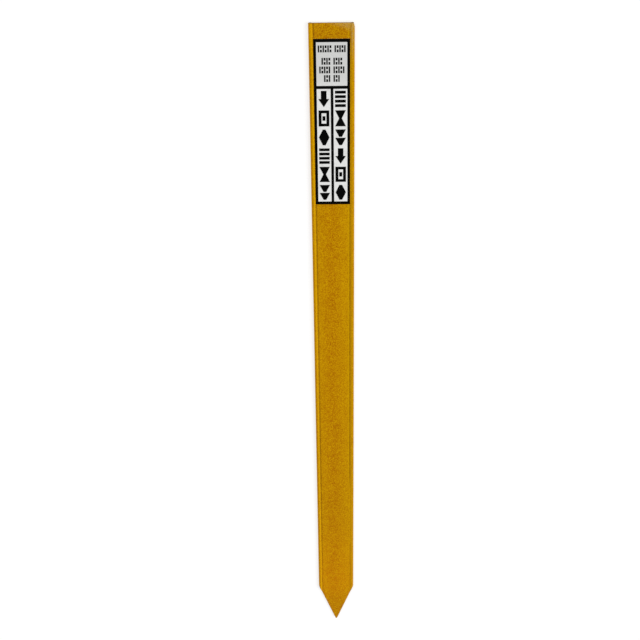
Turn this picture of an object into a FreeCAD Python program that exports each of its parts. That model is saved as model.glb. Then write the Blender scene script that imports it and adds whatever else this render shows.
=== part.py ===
import FreeCAD, Part
import math
import os

# A utility marker post: one pultruded blade of glass fibre and resin with a round bead along
# each edge, sawn square at the top end and cut to a point at the foot. A printed film is stuck
# in the shallow recess between the beads, near the top end.
# The post lies on its back. +Z points out of the printed face, +Y to the top end and +X to the
# reader's right. The origin is under the middle of the post, at the height of the back beads.
# All sizes are in millimetres.

# Blade
post_length = 1676.4        # from the sawn top end to the tip of the point, 66 inches
post_width = 95.25          # over both edge beads, 3 3/4 inches
bead_thick = 7.6            # front to back over a bead
web_thick = 3.8             # front to back between the beads
bead_width = 9.4            # from the edge of the post to where the flat recess starts
crown_flat = 1.5            # flat strip along the top of each bead
crease_radius = 3.6         # hollow rounding where a bead runs down into the recess

# Point at the foot
point_length = 126.0        # from the shoulders to the tip
tip_width = 3.2             # the tip is blunt
tip_radius = 1.4            # rounding of the two corners of the tip
shoulder_radius = 26.0      # rounding where the saw cuts leave the straight edges

# Top end and sawn edges
worn_across = 2.4           # the reader's right top corner is worn off by this much sideways
worn_down = 8.5             # and by this much down the edge
worn_radius = 1.2           # rounding where the worn corner meets the sawn end
edge_break = 0.4            # every sawn edge is rounded by this much
saw_room = 0.3              # the sawn outline is drawn this far outside the straight edges

# Film
film_drop = 32.0            # from the top end of the post to the top edge of the film
film_length = 367.4
film_gap = 0.2              # clearance from the film to the start of each crease
film_thick = 0.35
film_corner = 1.2           # rounding of its corners

# Printed frame on the film
print_thick = 0.1
side_border = 5.8           # along the sides of the film
end_border = 6.9            # along its two ends
header_height = 91.5        # white panel at the top, with rows of small blocks
header_bar = 6.6            # bar under that panel
column_bar = 5.8            # upright bar between the two lower panels

# Rows of small blocks in the upper panel
row_groups = [[6, 5], [4, 4], [5, 5], [3, 3]]    # blocks in each group of each row
row_top_gap = 6.6           # from the top of the panel to the first row
title_gap = 11.4            # from the first row to the second
row_gap = 3.8               # between the rows after that
row_bottom_gap = 8.5        # from the last row to the bar
row_side_gap = 3.6          # from the longest row to the frame
block_width = 3.0           # upright block
split_width = 3.8           # every other place in a group holds two short blocks instead
split_gap = 3.0             # white between those two

# Bold marks in the two lower panels
marks_per_column = 6
mark_side_gap = 3.2         # from a mark to the frame and to the upright bar
mark_end_gap = 4.0          # from the first and last marks to the ends of their panel
mark_gap = 7.0              # between marks
mark_stroke = 6.3           # width of the strokes
shaft_width = 12.0          # shaft of the arrow
waist_width = 6.0           # narrowest part of the hourglass and blunt ends of other marks
pennant_gap = 2.0           # between the two pennants

# Worked out from the sizes above
half_width = post_width / 2
mid_height = bead_thick / 2
web_top = mid_height + web_thick / 2
recess_half = half_width - bead_width
crown_outer = half_width - bead_thick / 2
crown_inner = crown_outer - crown_flat
y_top = post_length / 2
y_tip = -post_length / 2
film_half = recess_half - film_gap
film_top = y_top - film_drop
film_bottom = film_top - film_length
print_base = web_top + film_thick
panel_half = film_half - side_border
header_top = film_top - end_border
header_bottom = header_top - header_height
columns_top = header_bottom - header_bar
columns_bottom = film_bottom + end_border
column_inner = column_bar / 2


def point(x, y, z=0.0):
    return FreeCAD.Vector(x, y, z)


def line(start, end):
    return Part.LineSegment(start, end).toShape()


def arc(start, middle, end):
    return Part.Arc(start, middle, end).toShape()


def on_circle(centre_x, centre_z, radius, degrees):
    turn = math.radians(degrees)
    return point(centre_x + radius * math.cos(turn), 0, centre_z + radius * math.sin(turn))


def rounded_outline(corners):
    # A closed outline from corners (x, y, radius): each radius becomes an arc tangent to both
    # sides, and a radius of nought leaves its corner sharp.
    count = len(corners)
    starts = []
    ends = []
    edges = []
    for index in range(count):
        x, y, radius = corners[index]
        here = point(x, y)
        back = (point(*corners[index - 1][:2]) - here).normalize()
        ahead = (point(*corners[(index + 1) % count][:2]) - here).normalize()
        half_angle = back.getAngle(ahead) / 2
        reach = radius / math.tan(half_angle)
        depth = radius / math.sin(half_angle) - radius
        starts.append(here + back * reach)
        ends.append(here + ahead * reach)
        if radius > 0:
            edges.append(arc(starts[-1], here + (back + ahead).normalize() * depth, ends[-1]))
    for index in range(count):
        edges.append(line(ends[index - 1], starts[index]))
    return Part.Wire(Part.__sortEdges__(edges))


def rectangle(x_low, x_high, y_low, y_high, radius=0.0):
    corners = [(x_low, y_low), (x_high, y_low), (x_high, y_high), (x_low, y_high)]
    return rounded_outline([(x, y, radius) for x, y in corners])


def plate(outline, bottom, thickness):
    solid = Part.Face(outline).extrude(point(0, 0, thickness))
    solid.translate(point(0, 0, bottom))
    return solid


def bead_flank():
    # One flank of the right bead, from the flat recess up to the crown: a hollow crease, a round
    # crest and the flat crown. Crease and crest meet in a common tangent, which fixes their turn
    # and the sum of their radii.
    proud = (bead_thick - web_thick) / 2
    run = crown_inner - recess_half
    turn = math.degrees(2 * math.atan(proud / run))
    crest_radius = (run ** 2 + proud ** 2) / (2 * proud) - crease_radius
    crease_z = web_top + crease_radius
    crest_z = bead_thick - crest_radius
    meeting = on_circle(recess_half, crease_z, crease_radius, turn - 90)
    crease_middle = on_circle(recess_half, crease_z, crease_radius, turn / 2 - 90)
    crest_middle = on_circle(crown_inner, crest_z, crest_radius, 90 + turn / 2)
    crown_start = point(crown_inner, 0, bead_thick)
    crown_end = point(crown_outer, 0, bead_thick)
    crease = arc(point(recess_half, 0, web_top), crease_middle, meeting)
    crest = arc(meeting, crest_middle, crown_start)
    return [crease, crest, line(crown_start, crown_end)]


def blade_section():
    # The front flank is mirrored to the back and a half round joins the two at the edge. The
    # whole bead is mirrored to the left, and two flat recesses join the beads.
    front = bead_flank()
    back = [edge.mirror(point(0, 0, mid_height), point(0, 0, 1)) for edge in front]
    edge_top = point(crown_outer, 0, bead_thick)
    edge_bottom = point(crown_outer, 0, 0)
    bead = front + back + [arc(edge_top, point(half_width, 0, mid_height), edge_bottom)]
    edges = bead + [edge.mirror(point(0, 0), point(1, 0)) for edge in bead]
    for recess_z in (web_top, bead_thick - web_top):
        edges.append(line(point(-recess_half, 0, recess_z), point(recess_half, 0, recess_z)))
    return Part.Face(Part.Wire(Part.__sortEdges__(edges)))


def sawn_outline():
    # The post seen on its printed face: straight edges, one worn top corner, and two straight
    # cuts that run from the shoulders to the blunt tip.
    side = half_width + saw_room
    rise = point_length / (half_width - tip_width / 2)
    shoulder_y = y_tip + point_length + saw_room * rise
    worn_y = y_top - worn_down * (1 + saw_room / worn_across)
    return rounded_outline([
        (-tip_width / 2, y_tip, tip_radius),
        (tip_width / 2, y_tip, tip_radius),
        (side, shoulder_y, shoulder_radius),
        (side, worn_y, 0),
        (half_width - worn_across, y_top, worn_radius),
        (-side, y_top, 0),
        (-side, shoulder_y, shoulder_radius),
    ])


def is_sawn(face):
    # Sawn faces stand upright on the lying post: planes with a level normal, and the rounded
    # corners of the outline.
    upright = abs(face.Surface.Axis.z)
    if face.Surface.TypeId == "Part::GeomPlane":
        return upright < 0.001
    return upright > 0.999


def break_sawn_edges(post):
    # Every edge between a sawn face and the moulded skin is rounded a little.
    sawn = [edge for face in post.Faces if is_sawn(face) for edge in face.Edges]
    skin = [edge for face in post.Faces if not is_sawn(face) for edge in face.Edges]
    rims = [edge for edge in sawn if any(edge.isSame(other) for other in skin)]
    return post.makeFillet(edge_break, rims)


def make_post():
    bar = blade_section().extrude(point(0, post_length, 0))
    bar.translate(point(0, y_tip, 0))
    outline = plate(sawn_outline(), -bead_thick, 3 * bead_thick)
    return break_sawn_edges(bar.common(outline).Solids[0])


def film_outline():
    return rectangle(-film_half, film_half, film_bottom, film_top, film_corner)


def make_decal_film():
    return plate(film_outline(), web_top, film_thick)


def ink(outline, x=0.0, y=0.0):
    solid = plate(outline, print_base, print_thick)
    solid.translate(point(x, y))
    return solid


def ink_shape(corners):
    return ink(rounded_outline([(x, y, 0) for x, y in corners]))


def printed_frame():
    # The whole film is printed but for three windows: the header and the two lower panels.
    windows = [
        ink(rectangle(-panel_half, panel_half, header_bottom, header_top)),
        ink(rectangle(-panel_half, -column_inner, columns_bottom, columns_top)),
        ink(rectangle(column_inner, panel_half, columns_bottom, columns_top)),
    ]
    return ink(film_outline()).cut(windows)


def upright_block(height):
    return [ink(rectangle(-block_width / 2, block_width / 2, -height / 2, height / 2))]


def split_block(height):
    short = (height - split_gap) / 2
    low = rectangle(-split_width / 2, split_width / 2, -height / 2, short - height / 2)
    high = rectangle(-split_width / 2, split_width / 2, height / 2 - short, height / 2)
    return [ink(low), ink(high)]


def header_rows():
    # Rows of small blocks in groups, one empty place between groups. The longest row reaches the
    # side gaps, and the rows share the height that the gaps leave.
    places = [sum(groups) + len(groups) - 1 for groups in row_groups]
    pitch = (2 * (panel_half - row_side_gap) - block_width) / (max(places) - 1)
    gaps = row_top_gap + title_gap + (len(row_groups) - 2) * row_gap + row_bottom_gap
    height = (header_height - gaps) / len(row_groups)
    solids = []
    y = header_top - row_top_gap - height / 2
    for row, groups in enumerate(row_groups):
        x = -(places[row] - 1) * pitch / 2
        for group in groups:
            for index in range(group):
                blocks = split_block(height) if index % 2 else upright_block(height)
                solids += [block.translated(point(x, y)) for block in blocks]
                x += pitch
            x += pitch
        y -= height + (title_gap if row == 0 else row_gap)
    return solids


def arrow(w, h):
    half_shaft = shaft_width / 2
    head = [(-half_shaft, 0), (-w, 0), (0, -h), (w, 0), (half_shaft, 0)]
    return [ink_shape([(-half_shaft, h)] + head + [(half_shaft, h)])]


def framed_block(w, h):
    window = rectangle(mark_stroke - w, w - mark_stroke, mark_stroke - h, h - mark_stroke)
    frame = ink(rectangle(-w, w, -h, h)).cut(ink(window))
    block_half = h - 2 * mark_stroke
    return [frame, ink(rectangle(-mark_stroke / 2, mark_stroke / 2, -block_half, block_half))]


def lozenge(w, h):
    blunt = waist_width / 2
    return [ink_shape([(-w, 0), (-blunt, -h), (blunt, -h), (w, 0), (blunt, h), (-blunt, h)])]


def stripes(w, h):
    step = (2 * h - mark_stroke) / 3
    stripe = rectangle(-w, w, -h, mark_stroke - h)
    return [ink(stripe, 0, step * index) for index in range(4)]


def hourglass(w, h):
    half_waist = waist_width / 2
    return [ink_shape([(-w, -h), (w, -h), (half_waist, 0), (w, h), (-w, h), (-half_waist, 0)])]


def pennants(w, h):
    tall = h - pennant_gap / 2
    blunt = waist_width / 2
    pennant = ink_shape([(-w, 0), (-blunt, -tall), (blunt, -tall), (w, 0)])
    return [pennant.translated(point(0, h)), pennant.translated(point(0, tall - h))]


def column_marks():
    # Two columns of bold marks from one series, which the right column starts half way through.
    # They share the size that the gaps leave.
    series = [arrow, framed_block, lozenge, stripes, hourglass, pennants]
    w = (panel_half - column_inner) / 2 - mark_side_gap
    gaps = 2 * mark_end_gap + (marks_per_column - 1) * mark_gap
    height = (columns_top - columns_bottom - gaps) / marks_per_column
    solids = []
    for side, shift in ((-1, 0), (1, len(series) // 2)):
        x = side * (panel_half + column_inner) / 2
        for index in range(marks_per_column):
            y = columns_top - mark_end_gap - height / 2 - index * (height + mark_gap)
            mark = series[(index + shift) % len(series)]
            solids += [solid.translated(point(x, y)) for solid in mark(w, height / 2)]
    return solids


def make_decal_print():
    return Part.makeCompound([printed_frame()] + header_rows() + column_marks())


def export(name, shape):
    shape.exportStep("parts/" + name + ".step")
    print(name, "solids", len(shape.Solids), "volume", round(shape.Volume, 1), "valid", shape.isValid())


os.makedirs("parts", exist_ok=True)
export("post", make_post())
export("decal_film", make_decal_film())
export("decal_print", make_decal_print())
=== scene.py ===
import math
from types import SimpleNamespace
import bpy
import numpy as np
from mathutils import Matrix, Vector


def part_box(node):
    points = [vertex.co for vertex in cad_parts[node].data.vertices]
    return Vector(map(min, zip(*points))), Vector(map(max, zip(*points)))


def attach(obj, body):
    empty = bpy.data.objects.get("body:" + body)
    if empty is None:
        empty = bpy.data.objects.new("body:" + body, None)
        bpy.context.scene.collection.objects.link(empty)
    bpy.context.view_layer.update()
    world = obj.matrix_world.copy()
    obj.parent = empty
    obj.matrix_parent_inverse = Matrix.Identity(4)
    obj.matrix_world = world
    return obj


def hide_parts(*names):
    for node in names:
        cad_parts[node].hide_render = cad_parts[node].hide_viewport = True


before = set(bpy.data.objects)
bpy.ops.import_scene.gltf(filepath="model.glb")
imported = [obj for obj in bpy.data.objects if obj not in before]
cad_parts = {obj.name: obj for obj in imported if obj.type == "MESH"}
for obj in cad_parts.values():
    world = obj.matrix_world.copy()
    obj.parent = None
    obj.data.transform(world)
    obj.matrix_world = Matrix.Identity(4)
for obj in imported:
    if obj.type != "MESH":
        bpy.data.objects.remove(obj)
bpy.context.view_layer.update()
scene = bpy.context.scene
print("frame loaded:", ", ".join(sorted(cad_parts)))

# the camera stands past the sawn end of the post, looks down on the printed face and back
# along it towards the point
view = {
    "place": (0.004000, 1.365380, 2.119148),
    "turn": (-30.0814, 0.5384, -0.7994),       # degrees about X, Y and Z
    "lens": 58.00,
    "sensor": 36.0,
}


def makeCamera():
    data = bpy.data.cameras.new("camera")
    data.lens = view["lens"]
    data.sensor_width = view["sensor"]
    data.clip_start = 0.05
    data.clip_end = 100
    camera = bpy.data.objects.new("camera", data)
    camera.location = view["place"]
    camera.rotation_euler = [math.radians(angle) for angle in view["turn"]]
    scene.collection.objects.link(camera)
    scene.camera = camera


studio = {
    "world": 0.50,             # even light from all round
    "backdrop": 1.0,           # how bright the camera sees it
    "floorSize": 60.0,
    "floorColour": (0.45, 0.45, 0.448),
    "floorGlow": 0.56,         # the floor is a light table
    "floorRoughness": 0.9,
    "floorSpecular": 0.1,
    "floorDrop": 0.0001,       # the floor lies this far under the back beads
    # name: direction the light comes from, strength, angle of the soft disc in degrees
    "suns": {
        "keySun": ((0.90, -0.10, 0.60), 1.65, 40),
        "topSun": ((-0.10, 0.60, 0.90), 0.70, 60),
        "fillSun": ((-0.85, -0.10, 0.60), 0.45, 60),
    },
}


def makeWorld():
    world = bpy.data.worlds.new("studio")
    world.use_nodes = True
    nodes = world.node_tree.nodes
    background = nodes["Background"]
    background.inputs["Color"].default_value = (1, 1, 1, 1)
    seen = nodes.new("ShaderNodeLightPath").outputs["Is Camera Ray"]
    strength = nodes.new("ShaderNodeMapRange")
    strength.inputs["To Min"].default_value = studio["world"]
    strength.inputs["To Max"].default_value = studio["backdrop"]
    world.node_tree.links.new(seen, strength.inputs["Value"])
    world.node_tree.links.new(strength.outputs["Result"], background.inputs["Strength"])
    scene.world = world


def makeSuns():
    for name, (source, strength, angle) in studio["suns"].items():
        data = bpy.data.lights.new(name, "SUN")
        data.energy = strength
        data.angle = math.radians(angle)
        sun = bpy.data.objects.new(name, data)
        sun.rotation_mode = "QUATERNION"
        sun.rotation_quaternion = Vector(source).to_track_quat("Z", "Y")
        scene.collection.objects.link(sun)


def makeFloor():
    half = studio["floorSize"] / 2
    corners = [(-half, -half), (half, -half), (half, half), (-half, half)]
    mesh = bpy.data.meshes.new("floor")
    mesh.from_pydata([(x, y, -studio["floorDrop"]) for x, y in corners], [], [(0, 1, 2, 3)])
    floor = bpy.data.objects.new("floor", mesh)
    scene.collection.objects.link(floor)
    paint = bpy.data.materials.new("floorPaint")
    paint.use_nodes = True
    shader = paint.node_tree.nodes["Principled BSDF"]
    shader.inputs["Base Color"].default_value = (*studio["floorColour"], 1)
    shader.inputs["Roughness"].default_value = studio["floorRoughness"]
    shader.inputs["Specular IOR Level"].default_value = studio["floorSpecular"]
    shader.inputs["Emission Color"].default_value = (1, 1, 1, 1)
    shader.inputs["Emission Strength"].default_value = studio["floorGlow"]
    mesh.materials.append(paint)


makeCamera()
makeWorld()
makeSuns()
makeFloor()
scene.view_settings.view_transform = "Standard"
print("camera, light and floor made")


class Wire:
    # One output socket of a material. Sums on wires add Math nodes.
    def __init__(self, tree, socket):
        self.tree = tree
        self.socket = socket

    def node(self, kind, settings, inputs, output=0):
        # Adds any other node: its settings first, then a value or a wire for each socket.
        made = self.tree.nodes.new(kind)
        for name, value in settings.items():
            setattr(made, name, value)
        for name, value in inputs.items():
            if isinstance(value, Wire):
                self.tree.links.new(value.socket, made.inputs[name])
            else:
                made.inputs[name].default_value = value
        return Wire(self.tree, made.outputs[output])

    def math(self, operation, *values):
        return self.node("ShaderNodeMath", {"operation": operation}, dict(enumerate(values)))

    def __add__(self, other):
        return self.math("ADD", self, other)

    def __sub__(self, other):
        return self.math("SUBTRACT", self, other)

    def __mul__(self, other):
        return self.math("MULTIPLY", self, other)

    def __radd__(self, other):
        return self.math("ADD", other, self)

    def __rsub__(self, other):
        return self.math("SUBTRACT", other, self)

    def __rmul__(self, other):
        return self.math("MULTIPLY", other, self)

    def __abs__(self):
        return self.math("ABSOLUTE", self)

    def clamp(self):
        return self.node("ShaderNodeClamp", {}, {0: self})

    def ramp(self, low, high):
        # nought up to low, one from high on, smooth between; low may be the greater
        settings = {"interpolation_type": "SMOOTHSTEP"}
        return self.node("ShaderNodeMapRange", settings, {0: self, 1: low, 2: high})

    def noise(self, size, detail, roughness, distortion=0.0):
        # clouds from about 0.3 to 0.7, whose lumps are size across
        inputs = {"Vector": self, "Scale": 1 / size, "Detail": detail}
        inputs.update({"Roughness": roughness, "Distortion": distortion})
        return self.node("ShaderNodeTexNoise", {}, inputs)

    def stretched(self, turn, stretch, shift=(0, 0, 0)):
        # the same place, shifted, turned about Z by degrees, and measured in lumps of stretch
        inputs = {"Vector": self, "Location": shift, "Rotation": (0, 0, math.radians(turn))}
        inputs["Scale"] = stretch
        return self.node("ShaderNodeMapping", {"vector_type": "TEXTURE"}, inputs)

    def between(self, under, over):
        # the colour under where this wire is nought, over where it is one
        pair = [colour if isinstance(colour, Wire) else (*colour, 1.0) for colour in (under, over)]
        return self.node("ShaderNodeMix", {"data_type": "RGBA"}, {0: self, 6: pair[0], 7: pair[1]}, 2)


def startMaterial(name, fixed):
    # A new material whose shader has its fixed values set, and the place in millimetres.
    material = bpy.data.materials.new(name)
    material.use_nodes = True
    shader = material.node_tree.nodes["Principled BSDF"]
    for socket, value in fixed.items():
        shader.inputs[socket].default_value = value
    start = Wire(material.node_tree, None)
    metres = start.node("ShaderNodeTexCoord", {}, {}, "Object")
    place = metres.node("ShaderNodeVectorMath", {"operation": "SCALE"}, {0: metres, 3: 1000.0})
    return material, shader, place


def finishMaterial(shader, colour, roughness, height, relief):
    # Links what changes over the surface; relief is the bump's strength, and how many metres a
    # height of one stands for.
    strength, distance = relief
    inputs = {"Height": height, "Strength": strength, "Distance": distance}
    bump = height.node("ShaderNodeBump", {}, inputs)
    links = height.tree.links
    links.new(colour.socket, shader.inputs["Base Color"])
    links.new(roughness.socket, shader.inputs["Roughness"])
    links.new(bump.socket, shader.inputs["Normal"])


# glass-fibre post, in metres; the sizes that the frame gives are read from it
blade = {
    "beadWidth": 0.0094,       # from the edge of the post to where the flat recess starts
    "webThick": 0.0038,
    "crownFlat": 0.0015,
    "creaseRadius": 0.0036,
    "pointLength": 0.126,
    "tipWidth": 0.0032,
    "tipRadius": 0.0014,
    "shoulderRadius": 0.026,
    "sawRoom": 0.0003,         # the sawn outline is drawn this far outside the straight edges
    "wornAcross": 0.0024,      # the worn corner of the top end
    "wornDown": 0.0085,
    "wornRadius": 0.0012,
    "rimRadius": 0.0004,       # mean rounding of the sawn rims
    "rimUneven": 0.45,         # share by which that rounding varies
    "rimWaves": (5, 9, 14, 23, 37, 61),        # waves round the rim
    "rimLimits": (-1.2, 1.8),  # their sum is cut off here
    "seed": 11,
    # the mesh: rows along the post, and columns across a quarter of its section
    "rimRows": 5,
    "bodyRows": 56,
    "crowding": 0.6,           # share by which the rows crowd towards both ends
    "tipColumns": 10,          # close together over the tip
    "tipStep": 0.00032,
    "recessColumns": 30,       # further and further apart from here to the bead
    "recessFrom": 0.0033,
    "creaseSteps": 9,
    "crestSteps": 7,
    "edgeSteps": 12,
}


def roundedCut(x, corner, rise, radius):
    # Height over x of a line that is level up to the corner and then climbs at rise, with an arc
    # of that radius in the corner.
    tilt = math.atan(rise)
    start = corner - radius * math.tan(tilt / 2)
    along = np.clip(x - start, 0, radius * math.sin(tilt))
    arc = radius - np.sqrt(radius ** 2 - along ** 2)
    return np.where(x - start > radius * math.sin(tilt), (x - corner) * rise, arc)


def footLine(x, low, halfWidth):
    # The sawn foot: blunt tip, straight cut, and an arc at the shoulder that meets the side.
    b = blade
    rise = b["pointLength"] / (halfWidth - b["tipWidth"] / 2)
    side = halfWidth + b["sawRoom"]
    tilt = math.atan(rise)
    cut = low + roundedCut(np.abs(x), b["tipWidth"] / 2, rise, b["tipRadius"])
    radius = b["shoulderRadius"]
    tangent = radius * math.tan((math.pi / 2 - tilt) / 2)
    shoulder = low + b["pointLength"] + b["sawRoom"] * rise
    across = np.clip(np.abs(x) - (side - radius), 0, radius)
    arc = shoulder + tangent - np.sqrt(radius ** 2 - across ** 2)
    return np.where(np.abs(x) > side - tangent * math.cos(tilt), arc, cut)


def topLine(x, high, halfWidth):
    # The sawn top end, with its worn corner on the reader's right.
    b = blade
    corner = halfWidth - b["wornAcross"]
    return high - roundedCut(x, corner, b["wornDown"] / b["wornAcross"], b["wornRadius"])


def quarterSection(halfWidth, thick):
    # One quarter of the section, from the middle of the face to the edge: flat recess, hollow
    # crease, round crest, flat crown, and half of the edge's half round. Gives x, z and normal.
    b = blade
    middle = thick / 2
    webTop = middle + b["webThick"] / 2
    recessHalf = halfWidth - b["beadWidth"]
    crownOuter = halfWidth - middle
    crownInner = crownOuter - b["crownFlat"]
    proud = thick - webTop
    run = crownInner - recessHalf
    turn = 2 * math.atan(proud / run)
    crestRadius = (run ** 2 + proud ** 2) / (2 * proud) - b["creaseRadius"]
    overTip = np.arange(b["tipColumns"]) * b["tipStep"]
    flat = np.concatenate([overTip, np.geomspace(b["recessFrom"], recessHalf, b["recessColumns"])])
    down = np.linspace(0, turn, b["creaseSteps"])[1:]
    up = np.linspace(turn, 0, b["crestSteps"])[1:]
    edge = np.linspace(math.pi / 2, 0, b["edgeSteps"])[1:]
    xs = [
        flat,
        recessHalf + b["creaseRadius"] * np.sin(down),
        crownInner - crestRadius * np.sin(up),
        [crownInner + b["crownFlat"] / 2, crownOuter],
        crownOuter + middle * np.cos(edge),
    ]
    zs = [
        flat * 0 + webTop,
        webTop + b["creaseRadius"] * (1 - np.cos(down)),
        thick - crestRadius * (1 - np.cos(up)),
        [thick, thick],
        middle + middle * np.sin(edge),
    ]
    nx = [flat * 0, -np.sin(down), -np.sin(up), [0, 0], np.cos(edge)]
    nz = [flat * 0 + 1, np.cos(down), np.cos(up), [1, 1], np.sin(edge)]
    return [np.concatenate(part) for part in (xs, zs, nx, nz)]


def ring(halfWidth, thick):
    # The quarter mirrored to a closed loop: right front, right back, left back, left front.
    x, z, nx, nz = quarterSection(halfWidth, thick)
    n = len(x) - 1
    pick = np.concatenate([np.arange(n), np.arange(n, 0, -1), np.arange(n), np.arange(n, 0, -1)])
    signX = np.repeat([1, 1, -1, -1], n)
    signZ = np.repeat([1, -1, -1, 1], n)
    middle = thick / 2
    return signX * x[pick], middle + signZ * (z[pick] - middle), signX * nx[pick], signZ * nz[pick]


def unevenRim(count, generator):
    # Rounding of a sawn rim from column to column: short and long waves of random phase.
    turn = np.linspace(0, 2 * math.pi, count, endpoint=False)
    waves = np.zeros(count)
    for period in blade["rimWaves"]:
        waves += np.sin(period * turn + generator.uniform(0, 2 * math.pi)) / 3
    return blade["rimRadius"] * (1 + blade["rimUneven"] * np.clip(waves, *blade["rimLimits"]))


def slopeOf(line, x, limit, halfWidth):
    step = 1e-5
    return (line(x + step, limit, halfWidth) - line(x - step, limit, halfWidth)) / (2 * step)


def rimRows(line, limit, inward, section, halfWidth, generator):
    # The last rows at one end turn a quarter circle, in from the skin and round on to the sawn
    # face. The rounding fades where skin and cut face nearly the same way.
    x, z, nx, nz = section
    slope = slopeOf(line, x, limit, halfWidth)
    sameWay = np.clip(nx * inward * slope / np.sqrt(1 + slope ** 2), 0, 1)
    rim = unevenRim(len(x), generator) * (1 - sameWay)
    rows = []
    for angle in np.linspace(0, math.pi / 2, blade["rimRows"] + 1):
        shrink = rim * (1 - math.cos(angle))
        px = x - shrink * nx
        slope = slopeOf(line, px, limit, halfWidth)
        inset = rim * (1 - math.sin(angle)) * np.sqrt(1 + slope ** 2)
        py = line(px, limit, halfWidth) + inward * inset
        rows.append(np.stack([px, py, z - shrink * nz], 1))
    return rows


def makePost():
    # Every column of the section runs from the sawn foot to the sawn top end, in rows that stand
    # closer together near both ends.
    low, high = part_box("post")
    halfWidth = high.x
    x, z, nx, nz = ring(halfWidth, high.z - low.z)
    section = (x, z + low.z, nx, nz)
    generator = np.random.default_rng(blade["seed"])
    foot = rimRows(footLine, low.y, 1, section, halfWidth, generator)
    top = rimRows(topLine, high.y, -1, section, halfWidth, generator)
    even = np.linspace(0, 1, blade["bodyRows"])
    crowding = blade["crowding"]
    share = crowding * (0.5 - 0.5 * np.cos(math.pi * even)) + (1 - crowding) * even
    body = [foot[0] + (top[0] - foot[0]) * s for s in share[1:-1]]
    rows = foot[::-1] + body + top
    points = np.concatenate(rows)
    # how far each row has turned on to the sawn face
    turned = np.sin(np.linspace(0, math.pi / 2, blade["rimRows"] + 1)) ** 2
    sawn = np.concatenate([turned[::-1], np.zeros(len(body)), turned])
    count = len(x)
    n = count // 4
    column = np.arange(count)
    nextColumn = (column + 1) % count
    start = (np.arange(len(rows) - 1) * count)[:, None]
    corners = [start + column, start + nextColumn, start + count + nextColumn, start + count + column]
    faces = np.stack(corners, 2).reshape(-1, 4).tolist()
    smooth = len(faces)
    # the sawn faces join each front column to the back one behind it, and stay flat
    front = np.concatenate([np.arange(3 * n, 4 * n), np.arange(0, n + 1)])
    back = np.concatenate([np.arange(3 * n, 2 * n, -1), np.arange(2 * n, n - 1, -1)])
    for base, step in ((0, 1), ((len(rows) - 1) * count, -1)):
        for k in range(2 * n):
            around = dict.fromkeys([front[k], front[k + 1], back[k + 1], back[k]])
            faces.append([base + int(corner) for corner in around][::step])
    mesh = bpy.data.meshes.new("markerPost")
    mesh.from_pydata(points.tolist(), [], faces)
    mesh.polygons.foreach_set("use_smooth", np.arange(len(faces)) < smooth)
    attribute = mesh.attributes.new("sawn", "FLOAT", "POINT")
    attribute.data.foreach_set("value", np.repeat(sawn, count).astype(np.float32))
    mesh.update()
    mesh.validate()
    post = bpy.data.objects.new("markerPost", mesh)
    scene.collection.objects.link(post)
    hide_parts("post")
    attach(post, "root")
    return post


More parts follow.
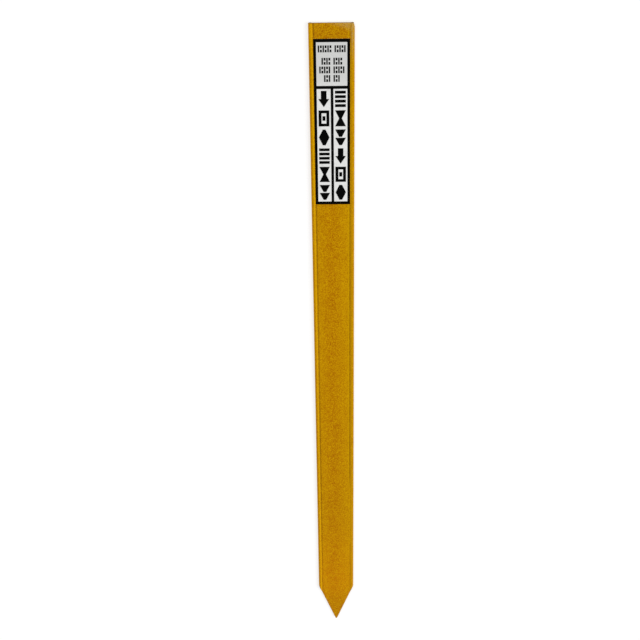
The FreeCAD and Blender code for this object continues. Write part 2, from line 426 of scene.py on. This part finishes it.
# Fibreglass; colours are linear and sizes in millimetres. A pair says where a change starts and
# where it is complete: under Across and Along as a place on X or Y, under In and Below as a
# distance from the edge of the post or from its top end, and under Reach from a line's middle.
resin = {
    "ochre": (0.450, 0.2010, 0.0008),
    "sunny": (0.476, 0.2220, 0.0008),      # yellower towards the reader's right
    "sunnyAcross": (6.0, 34.0),
    "rightAcross": (-20.0, 20.0),          # for all that the two beads don't share
    "orange": (0.384, 0.1300, 0.0005),     # lengthwise band along the middle
    "bandMiddle": -4.0,
    "bandHalf": 34.0,
    "redder": (0.300, 0.0720, 0.0004),     # a little of this from half way down
    "redderAlong": (60.0, -220.0),
    "foot": (0.550, 0.1900, 0.0005),       # painted light: brighter towards the point
    "footSunny": (0.575, 0.2300, 0.0008),
    "footMiddle": (0.486, 0.1420, 0.0004),
    "footAlong": (-420.0, -760.0),
    "tip": (0.395, 0.1300, 0.0004),        # darker again in the point
    "tipAlong": (-700.0, -795.0),
    "shade": (0.366, 0.1280, 0.0012),      # duller above the film
    "shadeBelow": (70.0, 25.0),
    "bead": (0.610, 0.3020, 0.0010),       # lighter on the beads
    "beadRise": (0.6, 3.4),                # measured from the edge of the recess
    "crest": (0.720, 0.3850, 0.0012),      # painted highlight on the inner shoulder of a bead
    "leftHighlightIn": 6.9,
    "leftHighlightReach": (2.6, 0.6),
    "rightHighlightIn": 8.2,
    "rightHighlightReach": (5.0, 1.2),
    "rightHighlightAlong": (-620.0, -540.0),   # ends where the right crease is dark
    "edge": (0.336, 0.1160, 0.0004),       # painted shade on the outer edges, more on the left, away from the light
    "edgeShadeIn": (7.0, 3.2),
    "outermostIn": (2.4, 0.6),
    "light": (0.590, 0.3250, 0.0015),      # strands that lie near the surface
    "deep": (0.310, 0.1080, 0.0003),       # resin between strands
    "creaseShadeAndScratches": (0.150, 0.0580, 0.0020),      # painted shade in the creases, and the dark scratches
    "leftCreaseIn": 10.9,
    "leftCreaseReach": (2.4, 0.3),
    "leftCreaseAlong": (-760.0, -300.0),   # more of it towards the top end
    "rightCreaseIn": 9.7,
    "rightCreaseReach": (1.4, 0.1),
    "rightCreaseAlong": (-380.0, -310.0),  # none of it further down,
    "footCreaseAlong": (-548.0, -572.0),   # but a little again before the point
    "byFilmAlong": (420.0, 460.0),         # and less beside the film
    "paleStrip": (0.520, 0.2900, 0.0010),      # lighter strip in the recess beside the right crease
    "paleStripIn": 12.8,
    "paleStripReach": (2.6, 0.6),
    "litFlankIn": 7.6,                        # and painted light on the flank of the bead on its other side
    "litFlankReach": (2.2, 0.6),
    "dustAndSheen": (0.500, 0.3350, 0.1000),       # chafed resin, with painted sheen at the top corner
    "patchBelow": (24.0, 4.0),
    "streakBelow": (90.0, 25.0),
    "streakIn": (11.0, 7.5),
    "darkStreakIn": (3.0, 6.0),
    "sawn": (0.200, 0.1050, 0.0200),
    "sawnLight": (0.460, 0.2900, 0.0900),  # cut strands
    "roughness": 0.50,
    "relief": (0.5, 0.00012),              # bump: its strength, and metres for a height of one
    "fixed": {"Specular IOR Level": 0.05, "Specular Tint": (1.0, 0.62, 0.02, 1.0)},
    # strands: how broad they are drawn, the size of their clouds across and along, and a turn in
    # degrees about Z with a shift for each set
    "mat": (0.045, 4.2, 26, (
        (38, (3, 5, 1)),
        (-33, (41, 7, 2)),
        (72, (5, 31, 3)),
        (-74, (17, 11, 8)),
        (8, (29, 3, 6)),
    )),
    "fibres": (0.03, 1.5, 14, ((24, (7, 3, 9)), (-51, (13, 23, 4)), (83, (19, 2, 7)))),
}


def strands(place, width, across, along, sets):
    # Thin wandering lines, one set for each (turn, shift): where stretched clouds pass through
    # their middle value.
    lines = None
    for turn, shift in sets:
        clouds = place.stretched(turn, (across, along, across), shift).noise(1.0, 1.0, 0.4, 0.3)
        found = abs(clouds - 0.5).ramp(width, 0.0)
        lines = found if lines is None else lines.math("MAXIMUM", lines, found)
    return lines


def glassUnderSkin(place):
    # The glass in the resin: a mat of bundles that wander in several directions, single fibres
    # that are finer and shorter, straight rovings along the post, and the resin's own mottle.
    return SimpleNamespace(
        mat=strands(place, *resin["mat"]),
        fibres=strands(place, *resin["fibres"]),
        mottle=place.noise(2.6, 2.5, 0.62),
        grain=place.noise(1.1, 1.5, 0.5),
        cloud=place.noise(34.0, 3.0, 0.55, 0.4),
        rovings=place.stretched(0, (1.7, 260, 1.7)).noise(1.0, 2.0, 0.5),
    )


def whereOnPost(place):
    # Where a point lies on the post: its distances from the edges and the top end, and shares
    # that say how far it is to the right, on a bead, by the top end or along the dark crease.
    low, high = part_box("post")
    halfWidth, topEnd = high.x * 1000, high.y * 1000
    beadWidth = blade["beadWidth"] * 1000
    riseFrom, riseTo = resin["beadRise"]
    x, y = [place.node("ShaderNodeSeparateXYZ", {}, {0: place}, axis) for axis in "XY"]
    fromEdge = halfWidth - abs(x)
    fromTop = topEnd - y
    return SimpleNamespace(
        place=place,
        x=x,
        y=y,
        fromLeft=x + halfWidth,
        fromRight=halfWidth - x,
        fromEdge=fromEdge,
        fromTop=fromTop,
        toRight=x.ramp(*resin["rightAcross"]),
        onBead=fromEdge.ramp(beadWidth - riseFrom, beadWidth - riseTo),
        byTop=fromTop.ramp(*resin["shadeBelow"]),
        byDarkCrease=y.ramp(*resin["rightCreaseAlong"]),
    )


def recessColour(at):
    # Ochre with the orange band, yellower on the right; then the changes along the post, among
    #     # them painted light that brightens it towards the point.
    r = resin
    band = abs(at.x - r["bandMiddle"]).ramp(r["bandHalf"], 0.0)
    rightward = at.x.ramp(*r["sunnyAcross"]) * 0.8
    colour = band.between(rightward.between(r["ochre"], r["sunny"]), r["orange"])
    colour = (at.y.ramp(*r["redderAlong"]) * 0.14).between(colour, r["redder"])
    # painted light: the colour brightens towards the point
    foot = band.between(rightward.between(r["foot"], r["footSunny"]), r["footMiddle"])
    colour = at.y.ramp(*r["footAlong"]).between(colour, foot)
    colour = at.y.ramp(*r["tipAlong"]).between(colour, r["tip"])
    return at.byTop.between(colour, r["shade"])


def beadColour(at, colour):
    # Lighter beads, a painted highlight on their inner shoulders, and painted shade on the outer
    # edges.
    r = resin
    colour = (at.onBead * (0.8 - at.toRight * 0.42)).between(colour, r["bead"])
    # painted highlight: a bright line on the shoulders that face the light
    left = abs(at.fromLeft - r["leftHighlightIn"]).ramp(*r["leftHighlightReach"])
    right = abs(at.fromRight - r["rightHighlightIn"]).ramp(*r["rightHighlightReach"])
    right = right * at.y.ramp(*r["rightHighlightAlong"]) * (1 - at.byDarkCrease)
    colour = (left * 0.55 + right * 0.42).between(colour, r["crest"])
    # painted shade on the outer edges, less on the right edge, which faces the light
    onEdge = (at.fromEdge - at.toRight * 0.4).ramp(*r["edgeShadeIn"])
    outermost = at.fromEdge.ramp(*r["outermostIn"])
    edgeShade = (0.80 - at.toRight * 0.46) * (1 - outermost * 0.65) * (1 - at.byTop * 0.8)
    return (onEdge * edgeShade).between(colour, r["edge"])


def strandColour(at, glass, colour):
    # Strands near the surface are light and the resin between them is deep, less so on the beads.
    tone = (glass.mottle - 0.5) * 3.6 + (glass.grain - 0.5) * 4.6
    tone = tone + (glass.cloud - 0.5) * 0.5 + (glass.rovings - 0.5) * 0.5
    tone = tone * (1 - at.onBead * 0.45)
    light = (tone + glass.mat * 0.75 + glass.fibres * 0.55 - 0.38).clamp()
    deep = (0.14 - tone - glass.mat * 0.40 - glass.fibres * 0.2).clamp()
    return deep.between(light.between(colour, resin["light"]), resin["deep"])


def creaseColour(at, colour):
    # A pale strip in the recess beside the right crease, painted light on the bead's flank across it,
    #     # and painted shade in both creases, broken up along them.
    r = resin
    paleStrip = abs(at.fromRight - r["paleStripIn"]).ramp(*r["paleStripReach"]) * at.byDarkCrease
    colour = (paleStrip * 0.55).between(colour, r["paleStrip"])
    # painted light on the flank of the right bead, which faces away from the light
    litFlank = abs(at.fromRight - r["litFlankIn"]).ramp(*r["litFlankReach"]) * at.byDarkCrease
    colour = (litFlank * 0.20).between(colour, r["crest"])
    # painted shade in both creases
    left = abs(at.fromLeft - r["leftCreaseIn"]).ramp(*r["leftCreaseReach"])
    left = left * (0.38 + at.y.ramp(*r["leftCreaseAlong"]) * 0.26)
    dark = at.byDarkCrease * (0.96 - at.y.ramp(*r["byFilmAlong"]) * 0.68 - at.byTop * 0.20)
    dark = dark + at.y.ramp(*r["footCreaseAlong"]) * 0.22
    right = abs(at.fromRight - r["rightCreaseIn"]).ramp(*r["rightCreaseReach"]) * dark
    broken = at.place.noise(9.0, 3.0, 0.6).ramp(0.30, 0.62) * 0.4 + 0.6
    return (left.math("MAXIMUM", left, right) * broken).between(colour, r["creaseShadeAndScratches"])


def chafedAndSheenColour(at, colour):
    # The chafed corner of the top end, and pale and dark scratches down the bead from it; the pale
    #     # ones also carry painted sheen. Gives the colour, and the mask of chafe and painted sheen.
    r = resin
    patch = (at.fromTop + at.fromRight * 0.35).ramp(*r["patchBelow"])
    streak = at.fromTop.ramp(*r["streakBelow"]) * at.fromRight.ramp(*r["streakIn"])
    scratches = at.place.stretched(0, (1.5, 75, 1.5), (2, 9, 5)).noise(1.0, 1.5, 0.5)
    # pale streaks: chafe with painted sheen
    pale = streak * scratches.ramp(0.44, 0.60)
    chafedAndSheen = patch.math("MAXIMUM", patch, pale) * at.place.noise(3.2, 3.0, 0.6).ramp(0.30, 0.60)
    colour = (chafedAndSheen * 0.75).between(colour, r["dustAndSheen"])
    dark = streak * scratches.ramp(0.48, 0.36) * at.fromRight.ramp(*r["darkStreakIn"])
    return (dark * 0.26).between(colour, r["creaseShadeAndScratches"]), chafedAndSheen


def makeResin(post):
    material, shader, place = startMaterial("fibreglass", resin["fixed"])
    at = whereOnPost(place)
    glass = glassUnderSkin(place)
    colour = beadColour(at, recessColour(at))
    colour = strandColour(at, glass, colour)
    colour = creaseColour(at, colour)
    colour, chafedAndSheen = chafedAndSheenColour(at, colour)
    # sawn faces: dark resin with the cut strands as pale specks
    cut = place.node("ShaderNodeAttribute", {"attribute_name": "sawn"}, {}, "Fac")
    specks = place.stretched(0, (0.5, 0.9, 0.45)).noise(1.0, 2.0, 0.6).ramp(0.52, 0.66)
    colour = cut.between(colour, specks.between(resin["sawn"], resin["sawnLight"]))
    rough = resin["roughness"] + (glass.mottle - 0.5) * 0.16 + chafedAndSheen * 0.16 + cut * 0.3
    height = glass.mottle * 0.35 + glass.mat * 0.2 + glass.fibres * 0.15 + glass.rovings * 0.35
    height = height + cut * specks * 0.8
    finishMaterial(shader, colour, rough, height, resin["relief"])
    post.data.materials.append(material)


post = makePost()
makeResin(post)
print("post made:", len(post.data.polygons), "faces")

# printed film; colours are linear, sizes in millimetres
label = {
    "film": (0.752, 0.755, 0.745),
    "filmDull": (0.598, 0.602, 0.592),     # greyer in the upper panel
    "filmDirt": (0.550, 0.545, 0.520),
    "filmRoughness": 0.38,
    "filmFixed": {"Specular IOR Level": 0.3},
    "dullAlong": (690.0, 730.0),           # where the film turns greyer
    "ink": (0.0006, 0.0006, 0.0006),
    "inkWorn": (0.0036, 0.0034, 0.0032),
    "inkRoughness": 0.42,
    "inkFixed": {"Specular IOR Level": 0.03},
    "relief": (0.4, 0.0001),               # bump, for film and ink
}


def ripples(place):
    # Orange peel and slow waves that film and ink share.
    return place.noise(1.6, 2.0, 0.5) * 0.35 + place.noise(11.0, 1.5, 0.4) * 1.2


def makeFilm():
    material, shader, place = startMaterial("film", label["filmFixed"])
    y = place.node("ShaderNodeSeparateXYZ", {}, {0: place}, "Y")
    soft = place.noise(26.0, 3.0, 0.6)
    patchy = place.noise(4.0, 2.0, 0.5)
    fine = place.noise(0.9, 2.0, 0.6)
    dirt = soft.ramp(0.48, 0.75) * 0.35 + patchy.ramp(0.40, 0.70) * 0.30 + fine.ramp(0.55, 0.8) * 0.15
    dull = y.ramp(*label["dullAlong"])
    colour = dirt.between(dull.between(label["film"], label["filmDull"]), label["filmDirt"])
    rough = label["filmRoughness"] + (soft - 0.5) * 0.15
    finishMaterial(shader, colour, rough, ripples(place), label["relief"])
    return material


def makeInk():
    material, shader, place = startMaterial("ink", label["inkFixed"])
    soft = place.noise(18.0, 3.0, 0.6)
    grain = place.noise(0.5, 2.0, 0.7)
    worn = soft.ramp(0.45, 0.75) * 0.5 + grain.ramp(0.6, 0.8) * 0.4
    colour = worn.between(label["ink"], label["inkWorn"])
    rough = label["inkRoughness"] + (soft - 0.5) * 0.2
    finishMaterial(shader, colour, rough, ripples(place), label["relief"])
    return material


def dress(node, material):
    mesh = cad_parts[node].data
    mesh.materials.clear()
    mesh.materials.append(material)


dress("decal_film", makeFilm())
dress("decal_print", makeInk())
print("film and print dressed")
